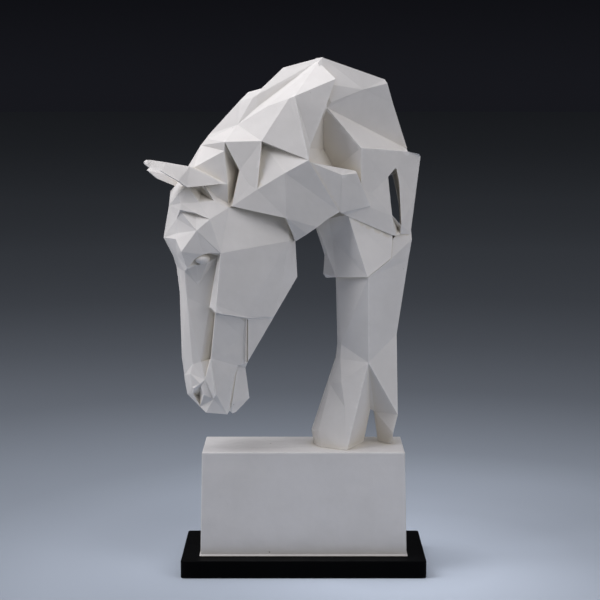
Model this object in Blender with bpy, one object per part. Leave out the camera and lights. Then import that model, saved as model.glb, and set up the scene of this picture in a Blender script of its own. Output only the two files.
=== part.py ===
"""A faceted white horse, neck arched and head bowed, on a white plinth and a black base plate.

Metres, +Z up. The origin is the centre of the base plate's underside, the horse looks towards -X,
and the side that is carved in full faces -Y. The far side is the same folds seen in a mirror.
"""
import math

import bmesh
import bpy
from mathutils import Matrix, Vector
from mathutils.geometry import delaunay_2d_cdt

# Driving sizes
FIGURE_HEIGHT = 0.3868
FIGURE_END_DISTANCE = 0.0356
PLINTH_LENGTH = 0.2055
PLINTH_DEPTH = 0.076
PLINTH_HEIGHT = 0.1052
PLINTH_DRAFT = 0.0022
PLINTH_EDGE_ROUND = 0.0012
PLINTH_LIP_PROUD = 0.0010
PLINTH_LIP_HEIGHT = 0.0018
PLATE_END_MARGIN = 0.01875
PLATE_SIDE_MARGIN = 0.016
PLATE_THICKNESS = 0.0175
PLATE_CORNER_RADIUS = 0.003
PLATE_EDGE_ROUND = 0.0010
SEAT_GAP = 0.0003

# The figure's own proportions are sighted marks: (across, down, out). Across and down are picture
# points, seen from the eye below, and out is the distance from the figure's middle plane towards the
# near side. One picture unit is one unit of length at the middle of the plinth, and FIGURE_HEIGHT
# turns those units into metres.
PICTURE_CENTRE = 300.0
EYE = Vector((-3.5, -1486.8, 468.7))
EYE_RANGE = 1500.0
EYE_PITCH = math.atan(0.13333)
SIGHTED_FOOT = Vector((65.0, 0.0, 122.7))
BODY_TURN = math.radians(10)
HEAD_TURN = math.radians(14)
HEAD_PIVOT = Vector((-85.0, -15.0, 0.0))
WELD = 1e-6

FIGURE_WHITE = (0.78, 0.775, 0.76, 1)
PLATE_BLACK = (0.012, 0.012, 0.013, 1)
CAST_ROUGHNESS = 0.55
PLATE_ROUGHNESS = 0.35
EDGE_SEGMENTS = 4

NECK_MARKS = {
    # crest, on the middle plane
    "poll": (187.5, 168.0, 0), "crest_1": (200.8, 145.8, 0), "crest_2": (209.5, 134.6, 0),
    "crest_3": (240.2, 100.8, 0), "crest_4": (248.3, 92.7, 0), "crest_5": (263.6, 88.9, 7),
    "crest_6": (283.3, 68.2, 0), "apex": (323.4, 57.7, 9),
    # mane lip and the groove behind the near ridge
    "lip_1": (252.9, 98.3, 8), "lip_2": (257.6, 95.2, 9), "lip_3": (314.5, 63.4, 9),
    "groove_1": (256.6, 108.2, 11), "groove_2": (299.0, 75.6, 10),
    # near ridge
    "ridge_1": (208.3, 139.6, 4), "ridge_2": (237.5, 125.4, 10), "ridge_3": (257.8, 109.3, 13.5),
    "ridge_4": (318.3, 62.3, 14),
    # side of the neck, top row
    "top_1": (267.4, 106.8, 26), "top_2": (289.0, 99.0, 38.5), "top_3": (295.0, 96.5, 41.5),
    "top_4": (335.6, 79.4, 39.5),
    "back_1": (324.6, 110.6, 42), "back_2": (310.6, 145.7, 44), "hub": (308.9, 160.6, 54),
    # small plates behind the ear
    "plate_1": (224.8, 142.4, 27), "plate_2": (224.3, 151.4, 24), "plate_3": (194.2, 167.8, 18),
    "plate_4": (227.4, 184.6, 27), "plate_5": (228.4, 207.2, 26.5), "behind_ear": (214.2, 201.0, 24.5),
    "under_ear": (201.0, 186.0, 26), "ear_root": (189.0, 193.0, 0),
    "wedge": (261.6, 141.6, 39), "wedge_foot": (257.3, 190.2, 40.5), "hollow": (239.9, 171.0, 31.5),
    "hollow_low": (232.0, 206.9, 35), "wedge_knee": (249.7, 185.9, 37), "cleft": (238.4, 171.2, 9),
    "cleft_low": (233.2, 196.0, 15),
    # lower plates
    "strip": (262.9, 144.4, 29), "fan": (285.0, 173.5, 51), "lip_mid": (286.3, 218.8, 46),
    "corner": (339.6, 212.5, 42), "under_1": (328.3, 219.3, 42), "under_2": (317.2, 227.8, 42),
    "under_3": (307.0, 234.8, 40), "under_4": (295.8, 241.8, 35),
}
NECK_OUTLINE = (
    "poll crest_1 crest_2 crest_3 crest_4 crest_5 crest_6 apex ridge_4 top_4 back_1 back_2 hub corner "
    "under_1 under_2 under_3 under_4 lip_mid hollow_low plate_5 behind_ear under_ear ear_root"
)
NECK_FOLDS = [
    "crest_1 ridge_1 ridge_2 lip_1 lip_2 lip_3 apex",
    "crest_2 ridge_1", "crest_4 lip_1", "crest_5 lip_2",
    "ridge_2 groove_1 groove_2 lip_3 ridge_4",
    "ridge_2 ridge_3 ridge_4",
    "lip_2 groove_1",
    "crest_1 plate_1 ridge_2", "crest_1 plate_2 plate_1 wedge ridge_2",
    "poll plate_3 plate_2 plate_4 plate_5", "under_ear plate_3",
    "ridge_2 wedge top_2 top_1 ridge_3", "ridge_2 top_1", "top_2 top_3 top_4",
    "wedge hub", "top_2 hub", "top_3 hub",
    "plate_1 hollow wedge_knee wedge_foot wedge", "hollow hollow_low wedge_foot",
    "plate_1 cleft cleft_low hollow_low", "plate_2 cleft", "plate_4 cleft_low",
    "wedge strip hub", "strip wedge_foot", "strip fan", "wedge_foot fan hub", "fan corner",
    "wedge_foot fan lip_mid", "lip_mid under_3",
]
NECK = (NECK_MARKS, NECK_OUTLINE, NECK_FOLDS)

BACK_MARKS = {
    "apex": (322.2, 57.9, 17), "rump_1": (384.8, 80.0, 21), "rump_2": (387.4, 83.9, 22.3),
    "rump_3": (393.1, 104.2, 16.2), "rump_4": (406.3, 149.0, 4.5), "rail_1": (408.0, 152.2, 22.5),
    "rail_2": (419.1, 154.7, 18.5), "rail_3": (420.5, 157.0, 15), "rail_4": (415.3, 197.4, 15),
    "rail_5": (410.5, 234.4, 17), "rail_6": (400.6, 234.6, 23),
    "panel_low": (396.1, 236.3, 27), "panel_1": (391.9, 235.6, 30), "panel_2": (348.3, 217.0, 37),
    "panel_3": (341.0, 213.5, 39),
    "inner_1": (322.0, 196.0, 28), "inner_2": (308.0, 168.0, 36), "inner_3": (303.0, 148.0, 34),
    "inner_4": (314.0, 112.0, 30), "inner_5": (322.0, 84.0, 24), "inner_6": (318.5, 62.8, 18),
    "bend_1": (331.3, 102.8, 24), "bend_2": (363.5, 90.0, 22.5), "eave": (327.3, 108.6, 22),
    "box": (361.0, 148.4, 43), "box_foot": (361.4, 190.0, 39.5),
    "seam_1": (396.8, 168.7, 26.5), "seam_2": (387.8, 178.0, 30), "seam_3": (371.9, 193.6, 35),
    "seam_4": (370.6, 208.0, 35.4), "slit_1": (392.0, 216.6, 31.5), "slit_2": (401.2, 225.4, 26),
    "pit": (397.6, 228.2, 17),
    "pocket_1": (323.3, 119.0, 16), "pocket_2": (323.8, 150.0, 6), "pocket_3": (335.0, 170.0, 10),
}
BACK_OUTLINE = (
    "apex rump_1 rump_2 rump_3 rump_4 rail_1 rail_2 rail_3 rail_4 rail_5 rail_6 panel_low panel_1 panel_2 "
    "panel_3 inner_1 inner_2 inner_3 inner_4 inner_5 inner_6"
)
BACK_FOLDS = [
    "inner_5 bend_1 bend_2 rump_2", "bend_1 eave rump_4", "eave box rail_1", "inner_4 eave",
    "eave pocket_1 pocket_2 pocket_3 box_foot", "box box_foot", "pocket_2 inner_2", "pocket_1 inner_4",
    "pocket_2 inner_3", "pocket_2 box", "pocket_3 inner_1",
    "rail_1 seam_1 seam_2 seam_3 box_foot", "seam_2 slit_1 panel_low", "seam_1 slit_2 rail_6",
    "slit_1 slit_2", "slit_1 pit slit_2", "pit panel_low", "pit rail_6", "box_foot panel_3",
    "seam_3 seam_4 panel_1", "panel_2 seam_4 box_foot",
]
BACK = (BACK_MARKS, BACK_OUTLINE, BACK_FOLDS)

SHOULDER_MARKS = {
    "rim_1": (309.4, 162.6, 51), "rim_2": (333.4, 167.4, 45), "rim_3": (355.7, 171.4, 42),
    "edge_1": (342.0, 175.6, 47), "edge_2": (357.2, 174.0, 45), "edge_3": (363.6, 190.4, 41),
    "edge_4": (370.4, 206.2, 36.6), "foot_1": (369.7, 207.2, 35.4), "foot_2": (348.3, 214.6, 37.2),
    "foot_3": (341.5, 213.2, 41.5), "foot_4": (338.0, 211.0, 41.5),
}
SHOULDER_OUTLINE = "rim_1 rim_2 rim_3 edge_2 edge_3 edge_4 foot_1 foot_2 foot_3 foot_4"
SHOULDER_FOLDS = ["rim_1 edge_1 edge_2", "edge_1 foot_3", "edge_4 foot_3"]
SHOULDER = (SHOULDER_MARKS, SHOULDER_OUTLINE, SHOULDER_FOLDS)

BREAST_MARKS = {
    "throat": (317.6, 228.0, 6), "fold_1": (329.0, 219.0, 14), "fold_2": (333.0, 239.3, 12),
    "crease": (325.1, 247.7, 9), "keel_1": (325.0, 250.6, 0), "keel_2": (323.3, 274.4, 0),
    "keel_3": (326.1, 278.2, 0), "rim_low": (336.0, 277.9, 14), "point": (367.6, 277.9, 42),
    "hem": (348.0, 215.4, 36.3), "plate_1": (392.6, 236.2, 28.5), "plate_2": (391.2, 258.6, 32),
    "inner_1": (392.0, 228.0, 20), "inner_2": (348.0, 205.0, 25), "inner_3": (322.0, 205.0, 14),
}
BREAST_OUTLINE = (
    "throat fold_1 inner_3 inner_2 inner_1 plate_1 plate_2 point rim_low keel_3 keel_2 keel_1 crease"
)
BREAST_FOLDS = ["fold_1 fold_2 point", "fold_1 hem point", "inner_2 hem plate_1", "crease rim_low"]
BREAST = (BREAST_MARKS, BREAST_OUTLINE, BREAST_FOLDS)

LEG_MARKS = {
    "top_1": (345.0, 262.0, 4), "top_2": (366.0, 262.0, 26), "top_3": (393.4, 239.0, 25),
    "top_4": (400.6, 230.0, 20), "top_5": (411.0, 230.0, 14),
    "hip": (411.9, 239.9, 18), "hip_in": (391.9, 258.9, 29), "knob": (368.0, 278.3, 40),
    "front_1": (337.4, 278.7, 4), "front_2": (338.6, 345.0, 3), "front_3": (336.8, 358.8, 3),
    "front_4": (313.4, 431.6, 5), "front_5": (317.2, 450.0, 8),
    "fold_1": (341.2, 345.0, 8), "shin_1": (341.6, 383.0, 18), "shin_2": (345.0, 408.4, 24),
    "band_1": (330.4, 385.0, 6), "band_2": (318.8, 429.4, 12), "band_3": (321.8, 453.0, 16),
    "shin_top": (340.4, 359.4, 10), "knee": (368.4, 363.2, 25), "toe": (345.9, 456.0, 34),
    "heel": (361.6, 452.0, 0),
    "notch_1": (370.3, 409.6, 3), "notch_2": (374.8, 411.8, 3), "rear_1": (379.4, 452.0, 0),
    "rear_2": (391.4, 452.0, 10), "rear_3": (393.2, 433.6, 21), "rear_4": (397.8, 415.4, 21),
    "calf": (396.7, 334.6, 9), "flank": (408.3, 260.6, 15),
}
LEG_OUTLINE = (
    "top_1 top_2 top_3 top_4 top_5 hip flank calf rear_4 rear_3 rear_2 rear_1 notch_2 notch_1 heel toe "
    "band_3 front_5 front_4 front_3 front_2 front_1"
)
LEG_FOLDS = [
    "knob hip_in hip", "front_1 knob fold_1 front_2", "knob knee", "fold_1 knee calf",
    "front_3 shin_top knee toe", "knee notch_1", "knee rear_4", "notch_2 rear_4", "notch_2 rear_3",
    "shin_top shin_1 shin_2 toe", "shin_top band_1 band_2 band_3", "fold_1 shin_top", "top_2 knob",
]
LEG = (LEG_MARKS, LEG_OUTLINE, LEG_FOLDS)

HEAD_MARKS = {
    # middle of the brow, nose and muzzle
    "crown": (180.0, 181.0, 0), "forelock": (169.0, 206.0, 0), "brow_mid": (163.6, 238.0, 0),
    "nose_mid": (179.8, 269.0, 0), "nose_low": (181.9, 358.0, 0), "muzzle_mid": (184.4, 375.6, 0),
    "muzzle_low": (187.4, 394.6, 0), "lip_front": (201.4, 408.9, 0),
    # temple
    "temple": (178.2, 194.5, 23.5), "ear_foot": (187.0, 185.0, 24), "ear_foot_2": (201.5, 180.5, 25),
    "ear_foot_3": (221.0, 190.0, 14), "pit": (200.8, 193.2, 15), "dip": (199.2, 203.0, 30.5),
    "wedge_1": (181.0, 203.8, 27.5), "wedge_2": (214.0, 201.6, 30), "wedge_3": (209.9, 219.8, 40),
    "fold_1": (180.0, 210.4, 29), "fold_2": (194.6, 213.2, 34.5), "fold_3": (180.6, 212.0, 27),
    "fold_4": (195.4, 214.8, 30.5),
    "brow_1": (176.7, 219.2, 23), "brow_2": (178.1, 233.6, 26), "brow_3": (175.6, 239.6, 27),
    "brow_4": (181.2, 252.5, 36), "brow_5": (196.6, 231.2, 38.5), "ridge_top": (229.0, 208.2, 32),
    "brow_low": (176.9, 255.5, 15),
    # eye
    "eye_front": (187.0, 268.6, 32), "lid_1": (194.6, 259.6, 34.5), "lid_2": (202.9, 254.9, 37),
    "lid_3": (210.6, 253.4, 39), "eye_back": (219.3, 253.7, 41),
    "under_lid_1": (195.0, 260.7, 29), "under_lid_2": (203.1, 256.2, 30), "under_lid_3": (210.2, 254.6, 30),
    "lid_low_1": (196.4, 265.6, 30), "lid_low_2": (207.4, 263.4, 33), "socket": (202.6, 260.4, 26),
    "eye_in": (187.6, 270.0, 26.5), "eye_out": (217.2, 256.3, 32), "under_eye": (198.2, 286.0, 25.5),
    # cheek plate, its bevel and the gutter beside it
    "cheek_1": (220.8, 253.8, 42), "cheek_2": (288.9, 241.6, 41), "cheek_3": (295.4, 241.8, 32),
    "cheek_4": (297.3, 277.4, 29), "cheek_5": (273.8, 317.5, 36), "cheek_6": (245.5, 316.9, 39.5),
    "cheek_7": (216.3, 305.8, 41), "cheek_8": (281.4, 284.0, 38.1), "cheek_9": (260.0, 291.0, 40.0),
    "bevel_1": (218.5, 256.2, 37), "bevel_2": (210.2, 307.6, 35.5), "bevel_3": (216.0, 313.4, 41.5),
    "bevel_4": (245.7, 318.2, 39.8), "bevel_5": (272.9, 319.3, 34.5),
    "jaw_top_1": (215.6, 314.2, 37.5), "jaw_top_2": (245.6, 319.1, 38),
    "gutter_1": (217.3, 257.6, 33), "gutter_2": (209.2, 308.6, 26), "gutter_3": (214.9, 314.1, 25),
    # under the neck's lower edge
    "nape_1": (231.0, 203.5, 24), "nape_2": (289.0, 213.0, 34),
    # nose and jaw
    "nose_1": (184.6, 272.2, 24), "nose_2": (187.0, 298.0, 21.5), "nose_3": (192.6, 364.8, 19.5),
    "side_low": (200.6, 362.4, 23.5), "jaw_0": (210.3, 359.0, 20), "jaw_1": (211.0, 359.0, 32),
    "jaw_2": (238.4, 354.0, 33), "jaw_3": (243.3, 338.0, 34.5), "jaw_4": (245.0, 364.2, 32),
    "chin_1": (246.3, 320.2, 39), "chin_2": (246.0, 362.4, 35), "crack_1": (247.2, 320.4, 35),
    "crack_2": (247.0, 362.2, 31), "chin_3": (248.2, 320.4, 37), "chin_4": (248.0, 362.0, 32.5),
    # muzzle
    "muzzle_1": (190.5, 374.4, 20), "muzzle_2": (191.6, 387.6, 20), "rim_1": (194.0, 388.9, 23),
    "rim_2": (200.3, 384.3, 27), "nostril_1": (200.8, 385.6, 26), "nostril_2": (192.9, 394.0, 19),
    "nostril_3": (203.7, 395.1, 28), "nostril_4": (200.3, 407.0, 20.5), "nostril_pit": (198.9, 395.4, 14),
    "sliver_1": (209.0, 361.4, 23.5), "sliver_2": (205.0, 380.2, 27.5), "sliver_3": (213.4, 399.8, 29),
    "sliver_4": (214.6, 396.8, 33), "lip_1": (237.2, 366.4, 31.5), "lip_2": (228.0, 377.0, 32),
    "lip_3": (216.4, 395.2, 31.5), "lip_4": (206.0, 413.2, 25.5), "lip_5": (227.2, 415.0, 29.5),
    "lip_6": (229.6, 403.2, 29.5), "lip_7": (234.3, 375.6, 31.5), "slit_1": (235.4, 375.8, 28),
    "slit_2": (231.0, 403.4, 26), "slit_3": (229.8, 411.0, 23), "lower_1": (238.6, 367.0, 28),
    "lower_2": (236.2, 376.0, 28.5), "lower_3": (232.2, 403.6, 27), "lower_4": (232.4, 414.0, 22),
    "lower_5": (245.4, 368.4, 25), "lower_6": (249.4, 398.6, 19), "lower_7": (236.0, 412.6, 20),
}
HEAD_OUTLINE = (
    "crown forelock brow_mid nose_mid nose_low muzzle_mid muzzle_low lip_front lip_4 "
    "lip_5 slit_3 lower_4 lower_7 lower_6 lower_5 chin_4 bevel_5 cheek_5 cheek_4 cheek_3 nape_2 nape_1 "
    "ear_foot_3 ear_foot_2 ear_foot"
)
HEAD_FOLDS = [
    "forelock temple ear_foot", "forelock brow_1", "brow_mid brow_1", "brow_mid brow_low brow_4",
    "brow_low nose_mid", "brow_low brow_3", "brow_1 brow_2 brow_3 brow_4", "brow_1 fold_3",
    "brow_low nose_1", "nose_mid nose_1 nose_2 nose_3 muzzle_1 muzzle_2 nostril_2 nostril_4 lip_4",
    "nose_low nose_2", "nose_low nose_3", "muzzle_mid muzzle_1", "muzzle_low nostril_2",
    "lip_front nostril_4", "temple wedge_1 fold_1 fold_3", "ear_foot dip", "ear_foot pit ear_foot_2",
    "pit wedge_2", "pit dip wedge_3", "dip wedge_1", "ear_foot_2 wedge_2 ridge_top",
    "wedge_2 ear_foot_3", "ear_foot_3 ridge_top",
    "wedge_2 wedge_3", "fold_1 fold_2 wedge_3", "dip fold_2",
    "fold_3 fold_4 wedge_3", "fold_4 brow_5", "fold_3 brow_5",
    "brow_2 brow_5", "brow_4 brow_5 wedge_3 ridge_top cheek_1", "brow_5 cheek_1",
    "brow_4 eye_front", "eye_front lid_1 lid_2 lid_3 eye_back cheek_1",
    "eye_front under_lid_1 under_lid_2 under_lid_3 eye_out eye_back",
    "eye_front eye_in lid_low_1 lid_low_2 eye_out", "eye_out gutter_1",
    "nose_1 eye_in under_eye gutter_1", "nose_1 under_eye gutter_2", "cheek_1 bevel_1 gutter_1 gutter_2",
    "bevel_1 bevel_2 bevel_3 bevel_4 bevel_5", "bevel_2 gutter_2 gutter_3 jaw_top_1 bevel_3",
    "jaw_top_1 jaw_top_2 bevel_5", "bevel_4 jaw_top_2",
    "cheek_1 cheek_7 cheek_6 cheek_5", "cheek_7 bevel_2", "cheek_7 bevel_3", "cheek_6 bevel_4",
    "cheek_1 cheek_2 cheek_3", "cheek_2 cheek_8 cheek_5", "cheek_2 cheek_9 cheek_6",
    "ridge_top nape_2", "nape_1 ridge_top",
    "nose_2 under_eye", "nose_3 side_low jaw_0 jaw_1 jaw_2 jaw_4 lower_5", "gutter_2 side_low",
    "gutter_3 jaw_0", "jaw_top_1 jaw_1", "nose_2 side_low",
    "jaw_top_2 jaw_3 jaw_2", "jaw_top_2 jaw_4", "jaw_top_2 chin_1 chin_2 jaw_4", "chin_1 crack_1 crack_2",
    "crack_1 chin_3 chin_4", "chin_2 crack_2 chin_4",
    "nose_3 sliver_2", "sliver_1 sliver_2 sliver_3 sliver_4 jaw_1", "side_low sliver_1", "sliver_1 jaw_1",
    "muzzle_2 rim_1 rim_2 sliver_2", "rim_1 nostril_2 nostril_1 rim_2",
    "nostril_1 nostril_3 nostril_4", "nostril_pit nostril_1",
    "nostril_pit nostril_2", "nostril_pit nostril_3", "nostril_pit nostril_4", "nostril_3 sliver_3",
    "jaw_2 lip_1 lip_2 lip_3 sliver_4", "sliver_3 lip_4", "sliver_3 lip_3 lip_5",
    "lip_1 lip_7 lip_6 lip_5", "lip_1 slit_1 slit_2 slit_3", "lip_1 lower_1 lower_2 lower_3 lower_4",
    "lower_1 slit_1", "lower_1 lower_5", "jaw_4 lower_1", "lower_2 lower_6",
]
HEAD = (HEAD_MARKS, HEAD_OUTLINE, HEAD_FOLDS)

NEAR_EAR_MARKS = {
    "tip_low": (145.8, 165.4, 27), "tip": (144.8, 162.8, 25.5), "tip_top": (147.2, 160.8, 24),
    "edge_0": (152.0, 160.9, 24), "edge_1": (166.0, 163.0, 24), "edge_2": (189.6, 167.2, 25.5),
    "edge_3": (209.5, 176.6, 28.5), "root": (223.0, 184.0, 30.5), "low_1": (212.0, 185.4, 32),
    "low_2": (187.2, 188.0, 33.5), "low_3": (178.3, 181.5, 34.5), "low_4": (161.7, 171.9, 32.5),
    "low_5": (149.6, 168.2, 28),
}
NEAR_EAR_OUTLINE = "tip_low tip tip_top edge_0 edge_1 edge_2 edge_3 root low_1 low_2 low_3 low_4 low_5"
NEAR_EAR_FOLDS = ["edge_2 low_2", "low_2 root", "edge_0 low_4"]
NEAR_EAR = (NEAR_EAR_MARKS, NEAR_EAR_OUTLINE, NEAR_EAR_FOLDS)

FAR_EAR_MARKS = {
    "tip": (148.2, 171.2, -20), "edge_1": (150.6, 168.4, -23), "edge_2": (165.0, 167.6, -26),
    "edge_3": (188.0, 174.0, -26), "root": (204.0, 186.0, -22), "low_1": (184.0, 190.0, -14),
    "low_2": (171.9, 185.2, -15), "low_3": (157.9, 179.3, -17), "crease": (168.0, 175.5, -19),
}
FAR_EAR_OUTLINE = "tip edge_1 edge_2 edge_3 root low_1 low_2 low_3"
FAR_EAR_FOLDS = ["tip crease edge_3", "crease low_1"]
FAR_EAR = (FAR_EAR_MARKS, FAR_EAR_OUTLINE, FAR_EAR_FOLDS)

# The eyeball bulges from the socket: its middle's mark, and its half width, half height and half depth.
EYEBALL_MIDDLE = (202.2, 259.4, 31.0)
EYEBALL_HALF = Vector((7.6, 4.9, 6.0))

# The corners of the see-through slit in front of the rear rail, at the near side and at the far side.
SLIT_NEAR = [(399.6, 164.4), (389.5, 177.0), (393.4, 215.4), (402.4, 225.3)]
SLIT_FAR = [(389.7, 180.3), (384.2, 179.2), (389.1, 217.8), (398.8, 224.8)]
SLIT_REACH = 60

# The rear of the body and of the leg rises to a blunt ridge along the middle plane. The rear is what
# lies past this share of a mass's length.
SPINE_RISE = 2.0
REAR_SHARE = 0.68


class MiddlePlane:
    """An upright plane that a mass is mirrored about, turned from the X axis by a small angle."""

    def __init__(self, turn, pivot):
        self.frame = Matrix.Translation(pivot) @ Matrix.Rotation(turn, 4, "Z")
        self.eye = self.frame.inverted() @ EYE
        self.turned = self.frame.inverted().to_3x3()

    def sight(self, across, down, out):
        """The point of the plane's own frame seen at (across, down), out in front of the plane."""
        ahead = Vector((0, math.cos(EYE_PITCH), -math.sin(EYE_PITCH)))
        upward = Vector((0, math.sin(EYE_PITCH), math.cos(EYE_PITCH)))
        ray = ahead * EYE_RANGE + Vector((across - PICTURE_CENTRE, 0, 0)) + upward * (PICTURE_CENTRE - down)
        ray = self.turned @ ray
        return self.eye + ray * ((-out - self.eye.y) / ray.y)


BODY_PLANE = MiddlePlane(BODY_TURN, Vector((0, 0, 0)))
HEAD_PLANE = MiddlePlane(HEAD_TURN, HEAD_PIVOT)


def placement():
    """From picture units to metres: the figure stands near the plinth's end, on its top."""
    apex = BODY_PLANE.frame @ BODY_PLANE.sight(*NECK_MARKS["apex"])
    unit = FIGURE_HEIGHT / (apex.z - SIGHTED_FOOT.z)
    foot = Vector((PLINTH_LENGTH / 2 - PLINTH_DRAFT - FIGURE_END_DISTANCE, 0, seat_height()))
    return Matrix.Translation(foot) @ Matrix.Scale(unit, 4) @ Matrix.Translation(-SIGHTED_FOOT)


def plinth_base():
    return PLATE_THICKNESS + SEAT_GAP


def seat_height():
    return plinth_base() + PLINTH_HEIGHT + SEAT_GAP


def named_material(name, colour, roughness):
    material = bpy.data.materials.new(name)
    material.use_nodes = True
    shader = material.node_tree.nodes["Principled BSDF"]
    shader.inputs["Base Color"].default_value = colour
    shader.inputs["Roughness"].default_value = roughness
    shader.inputs["Metallic"].default_value = 0.0
    return material


def mesh_object(name, bm, collection, material=None):
    bmesh.ops.recalc_face_normals(bm, faces=bm.faces)
    mesh = bpy.data.meshes.new(name)
    bm.to_mesh(mesh)
    bm.free()
    made = bpy.data.objects.new(name, mesh)
    collection.objects.link(made)
    if material:
        mesh.materials.append(material)
    return made


def strings(lines, order):
    """The edges along each line of mark names."""
    edges = []
    for line in lines:
        names = line.split()
        edges += [(order[a], order[b]) for a, b in zip(names, names[1:])]
    return edges


def sheet(plane, marks, outline, folds):
    """An open faceted sheet through the marks, creased along its folds, in the plane's own frame."""
    order = {mark: index for index, mark in enumerate(marks)}
    ring = outline + " " + outline.split()[0]
    flat = [Vector((across, -down)) for across, down, _ in marks.values()]
    edges = strings([ring] + folds, order)
    _, _, faces, origins, _, _ = delaunay_2d_cdt(flat, edges, [], 1, WELD)
    where = list(marks.values())
    bm = bmesh.new()
    corners = [bm.verts.new(plane.sight(*where[source[0]])) for source in origins]
    for face in faces:
        bm.faces.new([corners[index] for index in face])
    return bm


def wall_back(bm, out, spine):
    """Walls from the sheet's rim back to the given distance from the middle plane.

    Along the rear the walls also slope, so that they meet the mirrored ones in a ridge spine high.
    """
    rim = []
    for edge in bm.edges:
        if edge.is_boundary and max(abs(vert.co.y + out) for vert in edge.verts) > WELD:
            rim.append(edge)
    reach = [vert.co.x for vert in bm.verts]
    rear = min(reach) + REAR_SHARE * (max(reach) - min(reach))
    for made in bmesh.ops.extrude_edge_only(bm, edges=rim)["geom"]:
        if isinstance(made, bmesh.types.BMVert):
            if made.co.x > rear and abs(made.co.y + out) > WELD:
                made.co.x += spine
            made.co.y = -out


def folded_mass(name, plane, folding, collection, spine=0):
    """A sheet walled back to the middle plane and mirrored."""
    bm = sheet(plane, *folding)
    wall_back(bm, 0, spine)
    bmesh.ops.mirror(bm, geom=bm.verts[:] + bm.edges[:] + bm.faces[:], axis="Y", merge_dist=WELD)
    bmesh.ops.remove_doubles(bm, verts=bm.verts, dist=WELD)
    bmesh.ops.transform(bm, matrix=placement() @ plane.frame, verts=bm.verts)
    return mesh_object(name, bm, collection)


def folded_leaf(name, plane, folding, collection, back):
    """A sheet made a leaf by a flat back, on one side only."""
    bm = sheet(plane, *folding)
    wall_back(bm, back, 0)
    bmesh.ops.holes_fill(bm, edges=[edge for edge in bm.edges if edge.is_boundary])
    bmesh.ops.transform(bm, matrix=placement() @ plane.frame, verts=bm.verts)
    return mesh_object(name, bm, collection)


def eyeball(name, side, collection):
    """An eyeball on the near side (1) or on the far side (-1) of the head."""
    middle = HEAD_PLANE.sight(*EYEBALL_MIDDLE)
    middle.y *= side
    bm = bmesh.new()
    bmesh.ops.create_uvsphere(bm, u_segments=20, v_segments=12, radius=1)
    bmesh.ops.scale(bm, vec=EYEBALL_HALF.xzy, verts=bm.verts)
    bmesh.ops.translate(bm, vec=middle, verts=bm.verts)
    bmesh.ops.transform(bm, matrix=placement() @ HEAD_PLANE.frame, verts=bm.verts)
    return mesh_object(name, bm, collection)


def boolean(body, other, operation):
    modifier = body.modifiers.new(other.name, "BOOLEAN")
    modifier.operation = operation
    modifier.solver = "EXACT"
    modifier.object = other


def hull(name, corners, collection):
    bm = bmesh.new()
    for corner in corners:
        bm.verts.new(corner)
    bmesh.ops.convex_hull(bm, input=bm.verts)
    return mesh_object(name, bm, collection)


def slit_cutter(collection):
    """The see-through slit between the shoulder and the rear rail, wider on the near side."""
    near = [BODY_PLANE.sight(across, down, SLIT_REACH) for across, down in SLIT_NEAR]
    far = [BODY_PLANE.sight(across, down, -SLIT_REACH) for across, down in SLIT_FAR]
    where = placement() @ BODY_PLANE.frame
    return hull("slit", [where @ corner for corner in near + far], collection)


def ground_cutter(collection):
    """Everything below the plinth's top, so that both feet are cut off flat."""
    bm = bmesh.new()
    bmesh.ops.create_cube(bm, size=FIGURE_HEIGHT)
    drop = seat_height() - FIGURE_HEIGHT / 2
    bmesh.ops.translate(bm, vec=(0, 0, drop), verts=bm.verts)
    return mesh_object("ground", bm, collection)


def horse(collection, guides, material):
    """The figure: its masses joined and the slit and the feet cut, one cast solid."""
    body = folded_mass("horse", BODY_PLANE, NECK, collection)
    body.data.materials.append(material)
    masses = [
        folded_mass("back", BODY_PLANE, BACK, guides, SPINE_RISE),
        folded_mass("shoulder", BODY_PLANE, SHOULDER, guides),
        folded_mass("breast", BODY_PLANE, BREAST, guides),
        folded_mass("leg", BODY_PLANE, LEG, guides, SPINE_RISE),
        folded_mass("head", HEAD_PLANE, HEAD, guides),
        eyeball("near_eye", 1, guides),
        eyeball("far_eye", -1, guides),
        folded_leaf("near_ear", HEAD_PLANE, NEAR_EAR, guides, 17),
        folded_leaf("far_ear", HEAD_PLANE, FAR_EAR, guides, -30),
    ]
    cutters = [slit_cutter(guides), ground_cutter(guides)]
    for other in masses:
        boolean(body, other, "UNION")
    for other in cutters:
        boolean(body, other, "DIFFERENCE")
    return body


def block(length, depth, height, draft):
    """A block on z = 0, each side drawn in by the draft at the top."""
    bm = bmesh.new()
    bmesh.ops.create_cube(bm, size=1)
    bmesh.ops.scale(bm, vec=(length, depth, height), verts=bm.verts)
    bmesh.ops.translate(bm, vec=(0, 0, height / 2), verts=bm.verts)
    for vert in bm.verts:
        if vert.co.z > height / 2:
            vert.co.x -= math.copysign(draft, vert.co.x)
            vert.co.y -= math.copysign(draft, vert.co.y)
    return bm


def side_edges(bm):
    return [edge for edge in bm.edges if abs(edge.verts[0].co.z - edge.verts[1].co.z) > SEAT_GAP]


def level_edges(bm, height):
    return [edge for edge in bm.edges if all(abs(vert.co.z - height) < WELD for vert in edge.verts)]


def round_off(bm, edges, radius):
    bmesh.ops.bevel(bm, geom=edges, offset=radius, offset_type="OFFSET", segments=EDGE_SEGMENTS,
                    profile=0.5, affect="EDGES")


def flare(bm, drop, proud):
    """Draws the underside down by drop and out by proud on each side."""
    under = min(bm.faces, key=lambda face: face.calc_center_median().z)
    made = bmesh.ops.extrude_face_region(bm, geom=[under])["geom"]
    bmesh.ops.delete(bm, geom=[under], context="FACES_ONLY")
    for vert in made:
        if isinstance(vert, bmesh.types.BMVert):
            vert.co += Vector((math.copysign(proud, vert.co.x), math.copysign(proud, vert.co.y), -drop))


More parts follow.
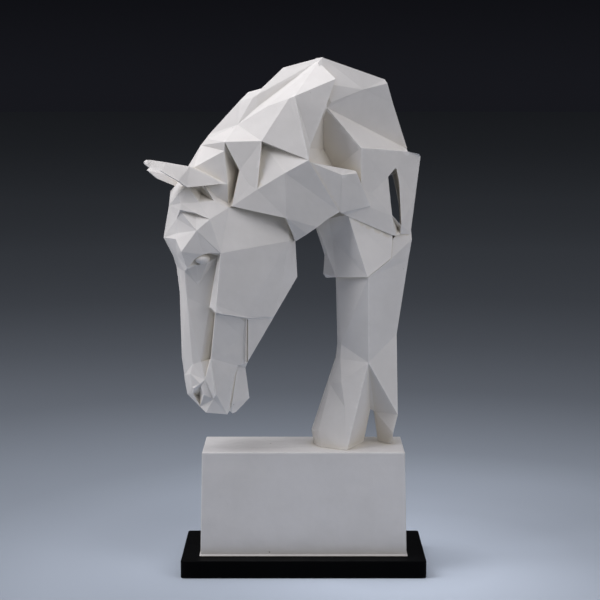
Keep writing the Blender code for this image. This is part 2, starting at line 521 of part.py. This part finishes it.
def plinth(collection, material):
    """A drafted block with softened edges, on a thin lip that flares out over the base plate."""
    lift = PLINTH_LIP_HEIGHT
    bm = block(PLINTH_LENGTH, PLINTH_DEPTH, PLINTH_HEIGHT - lift, PLINTH_DRAFT)
    round_off(bm, side_edges(bm) + level_edges(bm, PLINTH_HEIGHT - lift), PLINTH_EDGE_ROUND)
    flare(bm, lift / 2, PLINTH_LIP_PROUD)
    flare(bm, lift / 2, 0)
    bmesh.ops.translate(bm, vec=(0, 0, plinth_base() + lift), verts=bm.verts)
    return mesh_object("plinth", bm, collection, material)


def base_plate(collection, material):
    length = PLINTH_LENGTH + 2 * PLATE_END_MARGIN
    depth = PLINTH_DEPTH + 2 * PLATE_SIDE_MARGIN
    bm = block(length, depth, PLATE_THICKNESS, 0)
    round_off(bm, side_edges(bm), PLATE_CORNER_RADIUS)
    round_off(bm, level_edges(bm, 0) + level_edges(bm, PLATE_THICKNESS), PLATE_EDGE_ROUND)
    return mesh_object("base_plate", bm, collection, material)


def new_collection(name):
    collection = bpy.data.collections.new(name)
    bpy.context.scene.collection.children.link(collection)
    return collection


def main():
    for old in list(bpy.data.objects):
        bpy.data.objects.remove(old, do_unlink=True)
    parts = new_collection("horse_on_plinth")
    guides = new_collection("guides")
    horse(parts, guides, named_material("horse_white", FIGURE_WHITE, CAST_ROUGHNESS))
    plinth(parts, named_material("plinth_white", FIGURE_WHITE, CAST_ROUGHNESS))
    base_plate(parts, named_material("plate_black", PLATE_BLACK, PLATE_ROUGHNESS))
    for guide in guides.objects:
        guide.hide_render = True
        guide.display_type = "WIRE"


main()
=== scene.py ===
"""Origami horse head in matt white cast resin, on a tall white plinth and a satin black base plate."""

import math

import bmesh
import bpy
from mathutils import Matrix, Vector
from mathutils.bvhtree import BVHTree


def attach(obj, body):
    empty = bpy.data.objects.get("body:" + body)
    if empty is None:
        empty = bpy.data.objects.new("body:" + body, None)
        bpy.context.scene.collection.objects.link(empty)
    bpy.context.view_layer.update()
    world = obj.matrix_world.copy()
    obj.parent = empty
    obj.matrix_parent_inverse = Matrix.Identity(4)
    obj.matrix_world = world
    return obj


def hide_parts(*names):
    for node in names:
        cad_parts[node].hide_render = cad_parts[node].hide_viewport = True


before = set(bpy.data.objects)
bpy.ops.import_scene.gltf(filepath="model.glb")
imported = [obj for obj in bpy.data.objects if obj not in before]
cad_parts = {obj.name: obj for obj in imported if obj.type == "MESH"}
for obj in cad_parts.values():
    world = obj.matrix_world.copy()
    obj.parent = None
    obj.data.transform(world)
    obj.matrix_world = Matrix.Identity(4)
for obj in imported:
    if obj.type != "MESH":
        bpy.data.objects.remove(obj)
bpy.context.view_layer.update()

# Edges and surfaces, in metres.
MERGE_DISTANCE = 1e-5
TINY_EDGE = 1e-6
FLAT_ANGLE = math.radians(0.6)
HORSE_EDGE_ROUND = 0.0005
HORSE_CREASE_ANGLE = math.radians(7)
HORSE_STEP = 0.008
PLINTH_EDGE_ROUND = 0.0011
PLINTH_STEP = 0.012
PLATE_EDGE_ROUND = 0.0005
PLATE_STEP = 0.03
HARD_CORNER_ANGLE = math.radians(18)

# How far and with how many rays a point looks for walls that shelter it.
SHELTER_REACH = 0.05
SHELTER_RAYS = 28
SHELTER_START = 0.0006

# The duller band at the plinth's foot ends between these heights.
PLINTH_FOOT = 0.016
PLINTH_FOOT_FADE = 0.03

# Colours, linear.
WHITE = (0.83, 0.808, 0.795, 1)
WHITE_LOW = (0.765, 0.744, 0.728, 1)
# Painted highlight: the lighter tone along ridges where edges catch light.
EDGE_PAINTED_HIGHLIGHT = (0.89, 0.87, 0.86, 1)
PLINTH_WHITE = (0.75, 0.735, 0.735, 1)
PLINTH_LOW = (0.70, 0.685, 0.68, 1)
# Painted shade: the warm darker tone laid into sheltered recesses where shade falls.
WARM_SHADE = (0.735, 0.695, 0.625, 1)
# Painted shade: the dark thin line laid along valley creases where contact shadow falls.
VALLEY_PAINTED_SHADE = (0.36, 0.34, 0.30, 1)
FOOT_GREY = (0.62, 0.60, 0.60, 1)
SPECK_DARK = (0.16, 0.15, 0.135, 1)
BLACK = (0.0012, 0.0012, 0.0015, 1)
BLACK_DUST = (0.0035, 0.0038, 0.0045, 1)
# Painted highlight: the lighter tone along the plate's edges.
BLACK_EDGE_PAINTED_HIGHLIGHT = (0.012, 0.0125, 0.014, 1)

# How strongly each effect shows on the white resin.
SHADE_SHARE = 0.9
VALLEY_SHARE = 0.35
SPECK_SHARE = 0.85
RUBBED_GLOSS = -0.06
RESIN_BUMP_DEPTH = 0.0011
PLATE_BUMP_DEPTH = 0.0002

# Specks: how finely they are scattered, and the share of them that is left out.
HORSE_SPECKS = (160.0, 0.988)
PLINTH_SPECKS = (90.0, 0.93)
PLATE_SPECKS = (220.0, 0.93)

# The floor's painted pool of light: its tone at each distance from the middle of the patch, a little to the
# right, bright near it and painted dark further away.
FLOOR_RADIUS = 60.0
FLOOR_DROP = 0.0002
FLOOR_POOL_X = 0.1
FLOOR_TINT = (0.88, 0.985, 1.15)
FLOOR_PAINTED_POOL = [
    (0.0, 0.80),
    (0.10, 0.76),
    (0.20, 0.57),
    (0.28, 0.50),
    (0.36, 0.46),
    (0.49, 0.36),
    (0.92, 0.25),
    (1.4, 0.25),
    (2.1, 0.28),
    (3.3, 0.36),
    (5.7, 0.33),
    (14.0, 0.21),
    (FLOOR_RADIUS, 0.16),
]

# Lamps: name, place, width, height and power in watts. All point at the figure's middle.
LAMP_TARGET = (0, 0, 0.3)
LAMP_COLOUR = (0.985, 0.975, 1.0)
LAMPS = [
    ("key_light", (-0.1, -0.58, 1.5), 1.4, 0.7, 4.5),
    ("top_light", (-0.1, 0.4, 1.3), 1.2, 0.6, 3.7),
    ("left_light", (-1.0, -0.3, 1.4), 0.8, 0.8, 10.4),
    ("left_fill", (-1.6, -0.2, 0.7), 0.9, 0.9, 5.2),
    ("right_light", (1.0, -0.3, 1.4), 0.8, 0.8, 1.8),
    ("right_fill", (1.3, -1.1, 0.9), 0.8, 0.8, 7.4),
]
ROOM_LIGHT = 0.065
# The backdrop past the floor is painted: a faint glow that only the camera sees, brightest at the horizon
# and darker higher up.
DARK_COLOUR = (0.86, 0.90, 1.22, 1)
DARK_AT_HORIZON = 0.0097
DARK_ABOVE = 0.0050
DARK_RISE = 0.09

CAMERA_PLACE = (-0.0035, -1.4868, 0.4687)
CAMERA_DIP = math.radians(7.595)
CAMERA_LENS = 90
CAMERA_SENSOR = 36


# Small helpers for node trees.


def group(name, inputs, outputs):
    """An empty shader node group with float or vector sockets, and its two end nodes."""
    tree = bpy.data.node_groups.new(name, "ShaderNodeTree")
    kinds = {"value": "NodeSocketFloat", "vector": "NodeSocketVector"}
    for label, kind, default in inputs:
        socket = tree.interface.new_socket(label, in_out="INPUT", socket_type=kinds[kind])
        if default is not None:
            socket.default_value = default
    for label in outputs:
        tree.interface.new_socket(label, in_out="OUTPUT", socket_type=kinds["value"])
    start = tree.nodes.new("NodeGroupInput")
    end = tree.nodes.new("NodeGroupOutput")
    return tree, start, end


def plug(tree, value, socket):
    """Links a socket, or writes a plain value."""
    if hasattr(value, "is_output"):
        tree.links.new(value, socket)
    else:
        socket.default_value = value


def noise(tree, vector, scale, detail, roughness=0.5):
    """A noise texture over a vector; scale is a socket or a number."""
    node = tree.nodes.new("ShaderNodeTexNoise")
    node.inputs["Detail"].default_value = detail
    node.inputs["Roughness"].default_value = roughness
    tree.links.new(vector, node.inputs["Vector"])
    plug(tree, scale, node.inputs["Scale"])
    return node.outputs["Fac"]


def math_node(tree, operation, first, second, third=0.0):
    node = tree.nodes.new("ShaderNodeMath")
    node.operation = operation
    for socket, value in zip(node.inputs, (first, second, third)):
        plug(tree, value, socket)
    return node.outputs[0]


def fit(tree, value, low, high, to_low=0.0, to_high=1.0):
    """Maps low..high to to_low..to_high with soft ends."""
    node = tree.nodes.new("ShaderNodeMapRange")
    node.interpolation_type = "SMOOTHSTEP"
    for label, number in zip(("From Min", "From Max", "To Min", "To Max"), (low, high, to_low, to_high)):
        plug(tree, number, node.inputs[label])
    plug(tree, value, node.inputs["Value"])
    return node.outputs["Result"]


def blend(tree, amount, first, second):
    """A colour between two colours."""
    node = tree.nodes.new("ShaderNodeMix")
    node.data_type = "RGBA"
    plug(tree, amount, node.inputs["Factor"])
    plug(tree, first, node.inputs["A"])
    plug(tree, second, node.inputs["B"])
    return node.outputs["Result"]


def height_of(tree, vector):
    """The third part of a vector."""
    parts = tree.nodes.new("ShaderNodeSeparateXYZ")
    tree.links.new(vector, parts.inputs[0])
    return parts.outputs["Z"]


def use_group(tree, which, **values):
    """A node group placed in a material, with its inputs linked or set."""
    node = tree.nodes.new("ShaderNodeGroup")
    node.node_tree = which
    for label, value in values.items():
        plug(tree, value, node.inputs[label.replace("_", " ")])
    return node


def stored(tree, name):
    """A number kept on the mesh."""
    node = tree.nodes.new("ShaderNodeAttribute")
    node.attribute_name = name
    return node.outputs["Fac"]


# Effects shared by the finishes.


def cast_surface():
    """Sprayed resin: cloudy tone, fine grain, pin holes and a slightly wavy skin."""
    tree, start, end = group(
        "cast_surface",
        [
            ("Position", "vector", None),
            ("Cloud Scale", "value", 14.0),
            ("Wave Scale", "value", 42.0),
            ("Grain Scale", "value", 1100.0),
            ("Grain Depth", "value", 0.05),
            ("Speck Scale", "value", 120.0),
            ("Speck Size", "value", 0.11),
            ("Speck Share", "value", 0.9),
        ],
        ["Cloud", "Speck", "Height"],
    )
    place = start.outputs["Position"]
    cloud = noise(tree, place, start.outputs["Cloud Scale"], detail=5.0, roughness=0.6)
    wave = noise(tree, place, start.outputs["Wave Scale"], detail=2.0, roughness=0.4)
    grain = noise(tree, place, start.outputs["Grain Scale"], detail=2.0)
    cells = tree.nodes.new("ShaderNodeTexVoronoi")
    tree.links.new(place, cells.inputs["Vector"])
    tree.links.new(start.outputs["Speck Scale"], cells.inputs["Scale"])
    near = fit(tree, cells.outputs["Distance"], 0.0, start.outputs["Speck Size"], 1.0, 0.0)
    pick = tree.nodes.new("ShaderNodeSeparateColor")
    tree.links.new(cells.outputs["Color"], pick.inputs[0])
    chosen = math_node(tree, "GREATER_THAN", pick.outputs[0], start.outputs["Speck Share"])
    speck = math_node(tree, "MULTIPLY", near, chosen)
    height = math_node(tree, "MULTIPLY_ADD", grain, start.outputs["Grain Depth"], wave)
    height = math_node(tree, "MULTIPLY_ADD", speck, -0.5, height)
    tree.links.new(fit(tree, cloud, 0.33, 0.68), end.inputs["Cloud"])
    tree.links.new(speck, end.inputs["Speck"])
    tree.links.new(height, end.inputs["Height"])
    return tree


def painted_fold_light():
    """Masks from the folds: ridges for a painted highlight and rubbed gloss, valleys for painted shade, and
    sheltered places for painted shade.
    """
    tree, start, end = group(
        "painted_fold_light",
        [
            ("Position", "vector", None),
            ("Fold", "value", 0.0),
            ("Shelter", "value", 0.0),
            ("Break Scale", "value", 90.0),
        ],
        ["Ridge", "Valley", "Shade"],
    )
    broken = noise(tree, start.outputs["Position"], start.outputs["Break Scale"], detail=4.0, roughness=0.65)
    often = fit(tree, broken, 0.30, 0.62, 0.6, 1.0)
    ridge = fit(tree, start.outputs["Fold"], 0.1, 0.6)
    valley = fit(tree, start.outputs["Fold"], -0.2, -0.9)
    shade = fit(tree, start.outputs["Shelter"], 0.06, 0.55)
    loose = math_node(tree, "MULTIPLY_ADD", broken, 0.3, 0.85)
    tree.links.new(math_node(tree, "MULTIPLY", ridge, often), end.inputs["Ridge"])
    tree.links.new(math_node(tree, "MULTIPLY", valley, often), end.inputs["Valley"])
    tree.links.new(math_node(tree, "MULTIPLY", shade, loose), end.inputs["Shade"])
    return tree


surface = cast_surface()
fold_mask_group = painted_fold_light()


# Finishes.


def material(name):
    """A new material, its tree, its shader and the place on the object."""
    made = bpy.data.materials.new(name)
    made.use_nodes = True
    tree = made.node_tree
    shader = tree.nodes["Principled BSDF"]
    place = tree.nodes.new("ShaderNodeTexCoord").outputs["Object"]
    return made, tree, shader, place


def masks_from_folds(tree, place):
    """The fold masks, fed by the numbers kept on the mesh."""
    return use_group(tree, fold_mask_group, Position=place, Fold=stored(tree, "fold"), Shelter=stored(tree, "shelter"))


def bump(tree, height, shader, distance):
    node = tree.nodes.new("ShaderNodeBump")
    node.inputs["Strength"].default_value = 1.0
    node.inputs["Distance"].default_value = distance
    tree.links.new(height, node.inputs["Height"])
    tree.links.new(node.outputs["Normal"], shader.inputs["Normal"])


def white_resin(name, white, low_white, specks, foot=False):
    """Matt white sprayed casting; foot adds the duller band at the bottom of the plinth."""
    made, tree, shader, place = material(name)
    cast = use_group(tree, surface, Position=place, Speck_Scale=specks[0], Speck_Share=specks[1])
    fold_masks = masks_from_folds(tree, place)
    tone = blend(tree, cast.outputs["Cloud"], white, low_white)
    if foot:
        low = fit(tree, height_of(tree, place), PLINTH_FOOT, PLINTH_FOOT_FADE, 1.0, 0.0)
        patchy = fit(tree, cast.outputs["Cloud"], 0.0, 1.0, 0.45, 0.9)
        tone = blend(tree, math_node(tree, "MULTIPLY", low, patchy), tone, FOOT_GREY)
    # Painted shade: warm darker tone in sheltered recesses.
    tone = blend(tree, math_node(tree, "MULTIPLY", fold_masks.outputs["Shade"], SHADE_SHARE), tone, WARM_SHADE)
    # Painted shade: dark thin lines in the valley creases.
    tone = blend(tree, math_node(tree, "MULTIPLY", fold_masks.outputs["Valley"], VALLEY_SHARE), tone, VALLEY_PAINTED_SHADE)
    # Painted highlight: lighter tone along the ridges.
    tone = blend(tree, fold_masks.outputs["Ridge"], tone, EDGE_PAINTED_HIGHLIGHT)
    tone = blend(tree, math_node(tree, "MULTIPLY", cast.outputs["Speck"], SPECK_SHARE), tone, SPECK_DARK)
    tree.links.new(tone, shader.inputs["Base Color"])
    gloss = fit(tree, cast.outputs["Cloud"], 0.0, 1.0, 0.50, 0.60)
    gloss = math_node(tree, "MULTIPLY_ADD", fold_masks.outputs["Ridge"], RUBBED_GLOSS, gloss)
    tree.links.new(gloss, shader.inputs["Roughness"])
    shader.inputs["Specular IOR Level"].default_value = 0.35
    bump(tree, cast.outputs["Height"], shader, RESIN_BUMP_DEPTH)
    return made


def black_plate(name):
    """Satin black, with a little dust on the level faces and a painted highlight on the edges."""
    made, tree, shader, place = material(name)
    cast = use_group(
        tree,
        surface,
        Position=place,
        Cloud_Scale=30.0,
        Grain_Depth=0.08,
        Speck_Scale=PLATE_SPECKS[0],
        Speck_Share=PLATE_SPECKS[1],
    )
    fold_masks = masks_from_folds(tree, place)
    facing = tree.nodes.new("ShaderNodeNewGeometry").outputs["Normal"]
    level = fit(tree, height_of(tree, facing), 0.6, 0.98)
    dust = math_node(tree, "MULTIPLY", level, fit(tree, cast.outputs["Cloud"], 0.0, 1.0, 0.2, 0.8))
    tone = blend(tree, dust, BLACK, BLACK_DUST)
    # Painted highlight along the edges.
    tone = blend(tree, fold_masks.outputs["Ridge"], tone, BLACK_EDGE_PAINTED_HIGHLIGHT)
    tree.links.new(tone, shader.inputs["Base Color"])
    tree.links.new(fit(tree, cast.outputs["Cloud"], 0.0, 1.0, 0.46, 0.56), shader.inputs["Roughness"])
    shader.inputs["Specular IOR Level"].default_value = 0.03
    bump(tree, cast.outputs["Height"], shader, PLATE_BUMP_DEPTH)
    return made


# Pieces.


def whole(node):
    """A solid's mesh with its loose triangles joined and its flat faces made whole."""
    bm = bmesh.new()
    bm.from_mesh(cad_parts[node].data)
    bmesh.ops.remove_doubles(bm, verts=bm.verts, dist=MERGE_DISTANCE)
    bmesh.ops.dissolve_limit(bm, angle_limit=FLAT_ANGLE, verts=bm.verts, edges=bm.edges)
    return bm


def cut_fine(mesh, step):
    """Cuts a mesh into triangles with no edge longer than a step."""
    bm = bmesh.new()
    bm.from_mesh(mesh)
    bmesh.ops.dissolve_degenerate(bm, dist=TINY_EDGE, edges=bm.edges)
    bmesh.ops.triangulate(bm, faces=bm.faces)
    while True:
        long_edges = [edge for edge in bm.edges if edge.calc_length() > step]
        if not long_edges:
            break
        bmesh.ops.subdivide_edges(bm, edges=long_edges, cuts=1)
        bmesh.ops.triangulate(bm, faces=bm.faces, quad_method="SHORT_EDGE")
    bm.to_mesh(mesh)
    bm.free()


def softened(node, name, round_off, segments, crease, step):
    """A copy of a solid with small round edges, cut fine enough to carry the numbers of its folds."""
    bm = whole(node)
    mesh = bpy.data.meshes.new(name + "_plain")
    bm.to_mesh(mesh)
    bm.free()
    piece = bpy.data.objects.new(name, mesh)
    bpy.context.scene.collection.objects.link(piece)
    soften = piece.modifiers.new("soft_edges", "BEVEL")
    soften.width = round_off
    soften.segments = segments
    soften.limit_method = "ANGLE"
    soften.angle_limit = crease
    soften.use_clamp_overlap = True
    bpy.context.view_layer.update()
    finished = bpy.data.meshes.new_from_object(piece.evaluated_get(bpy.context.evaluated_depsgraph_get()))
    piece.modifiers.remove(soften)
    piece.data = finished
    finished.name = name
    cut_fine(finished, step)
    return piece


def hemisphere(count):
    """Evenly spread directions about +Z, closer together towards it."""
    turn = math.pi * (3 - math.sqrt(5))
    rays = []
    for i in range(count):
        share = (i + 0.5) / count
        flat = math.sqrt(share)
        rays.append(Vector((flat * math.cos(i * turn), flat * math.sin(i * turn), math.sqrt(1 - share))))
    return rays


def all_walls():
    """One search tree over the plain solids."""
    points, faces = [], []
    for node in ("horse", "plinth", "base_plate"):
        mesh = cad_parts[node].data
        first = len(points)
        points.extend(vert.co.copy() for vert in mesh.vertices)
        faces.extend([first + i for i in face.vertices] for face in mesh.polygons)
    return BVHTree.FromPolygons(points, faces)


def sheltered(vert, rays, walls):
    """From 0 in the open to 1 with walls close by on all sides."""
    turn = vert.normal.to_track_quat("Z", "Y")
    start = vert.co + vert.normal * SHELTER_START
    hidden = 0.0
    for ray in rays:
        distance = walls.ray_cast(start, turn @ ray, SHELTER_REACH)[3]
        if distance is not None:
            hidden += 1 - distance / SHELTER_REACH
    return hidden / len(rays)


def note_folds(mesh, walls):
    """Stores on each point how sharply it folds, out or in, and how sheltered it is."""
    bm = bmesh.new()
    bm.from_mesh(mesh)
    rays = hemisphere(SHELTER_RAYS)
    folds, shelters = [], []
    for vert in bm.verts:
        turns = (edge.calc_face_angle_signed(0.0) for edge in vert.link_edges)
        folds.append(max(turns, key=abs))
        shelters.append(sheltered(vert, rays, walls))
    bm.free()
    for label, values in (("fold", folds), ("shelter", shelters)):
        kept = mesh.attributes.new(label, "FLOAT", "POINT")
        kept.data.foreach_set("value", values)


def dress(piece, node, finish):
    """Gives a finished piece its material and body, and puts it in its solid's place."""
    note_folds(piece.data, walls)
    piece.data.materials.clear()
    piece.data.materials.append(finish)
    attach(piece, "root")
    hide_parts(node)


walls = all_walls()

horse = softened("horse", "folded_horse", HORSE_EDGE_ROUND, 2, HORSE_CREASE_ANGLE, HORSE_STEP)
horse_finish = white_resin("sprayed_resin", WHITE, WHITE_LOW, HORSE_SPECKS)
dress(horse, "horse", horse_finish)

plinth = softened("plinth", "tapered_plinth", PLINTH_EDGE_ROUND, 3, HARD_CORNER_ANGLE, PLINTH_STEP)
plinth_finish = white_resin("sprayed_plinth", PLINTH_WHITE, PLINTH_LOW, PLINTH_SPECKS, foot=True)
dress(plinth, "plinth", plinth_finish)

plate = softened("base_plate", "black_base", PLATE_EDGE_ROUND, 2, HARD_CORNER_ANGLE, PLATE_STEP)
dress(plate, "base_plate", black_plate("satin_black"))


# Floor, light and camera.


def floor_paper_with_painted_pool():
    """Matt paper with a painted pool of light in its colour, falling off into painted dark away from the
    light patch.
    """
    paper, tree, shader, place = material("floor_paper_with_painted_pool")
    shift = tree.nodes.new("ShaderNodeMapping")
    shift.inputs["Location"].default_value = (-FLOOR_POOL_X, 0, 0)
    tree.links.new(place, shift.inputs["Vector"])
    far = tree.nodes.new("ShaderNodeVectorMath")
    far.operation = "LENGTH"
    tree.links.new(shift.outputs[0], far.inputs[0])
    reach = far.outputs["Value"]
    share = math_node(tree, "DIVIDE", reach, math_node(tree, "ADD", reach, 1.0))
    ramp = tree.nodes.new("ShaderNodeValToRGB")
    while len(ramp.color_ramp.elements) < len(FLOOR_PAINTED_POOL):
        ramp.color_ramp.elements.new(0.5)
    for element, (distance, tone) in zip(ramp.color_ramp.elements, FLOOR_PAINTED_POOL):
        element.position = distance / (distance + 1)
        element.color = tuple(tone * part for part in FLOOR_TINT) + (1,)
    tree.links.new(share, ramp.inputs[0])
    tree.links.new(ramp.outputs[0], shader.inputs["Base Color"])
    shader.inputs["Roughness"].default_value = 0.9
    shader.inputs["Specular IOR Level"].default_value = 0.0
    return paper


def floor():
    """A wide pale floor."""
    bm = bmesh.new()
    bmesh.ops.create_circle(bm, cap_ends=True, cap_tris=False, segments=128, radius=FLOOR_RADIUS)
    mesh = bpy.data.meshes.new("floor")
    bm.to_mesh(mesh)
    bm.free()
    made = bpy.data.objects.new("floor", mesh)
    bpy.context.scene.collection.objects.link(made)
    made.location = (0, 0, -FLOOR_DROP)
    mesh.materials.append(floor_paper_with_painted_pool())


def softbox(name, where, width, height, power):
    """A soft rectangular lamp that the camera doesn't see."""
    data = bpy.data.lights.new(name, "AREA")
    data.shape = "RECTANGLE"
    data.size = width
    data.size_y = height
    data.energy = power
    data.color = LAMP_COLOUR
    lamp = bpy.data.objects.new(name, data)
    bpy.context.scene.collection.objects.link(lamp)
    lamp.location = where
    lamp.rotation_euler = (Vector(LAMP_TARGET) - Vector(where)).to_track_quat("-Z", "Y").to_euler()
    lamp.visible_camera = False


def studio():
    """Soft light from all round, and past the floor's end a painted near-black backdrop that glows for the
    camera only, brighter at the horizon and darker higher up.
    """
    world = bpy.data.worlds.new("studio")
    bpy.context.scene.world = world
    world.use_nodes = True
    tree = world.node_tree
    light = tree.nodes["Background"]
    light.inputs["Color"].default_value = LAMP_COLOUR + (1,)
    light.inputs["Strength"].default_value = ROOM_LIGHT
    dark = tree.nodes.new("ShaderNodeBackground")
    dark.inputs["Color"].default_value = DARK_COLOUR
    rise = height_of(tree, tree.nodes.new("ShaderNodeTexCoord").outputs["Generated"])
    tree.links.new(fit(tree, rise, 0.0, DARK_RISE, DARK_AT_HORIZON, DARK_ABOVE), dark.inputs["Strength"])
    seen = tree.nodes.new("ShaderNodeLightPath")
    mix = tree.nodes.new("ShaderNodeMixShader")
    tree.links.new(seen.outputs["Is Camera Ray"], mix.inputs[0])
    tree.links.new(light.outputs[0], mix.inputs[1])
    tree.links.new(dark.outputs[0], mix.inputs[2])
    tree.links.new(mix.outputs[0], tree.nodes["World Output"].inputs["Surface"])


def camera():
    """The eye at the photograph's viewing angle."""
    lens = bpy.data.cameras.new("eye")
    lens.lens = CAMERA_LENS
    lens.sensor_width = CAMERA_SENSOR
    eye = bpy.data.objects.new("camera", lens)
    bpy.context.scene.collection.objects.link(eye)
    eye.location = CAMERA_PLACE
    eye.rotation_euler = (math.pi / 2 - CAMERA_DIP, 0, 0)
    bpy.context.scene.camera = eye


floor()
studio()
for lamp in LAMPS:
    softbox(*lamp)
camera()
bpy.context.scene.view_settings.view_transform = "Standard"
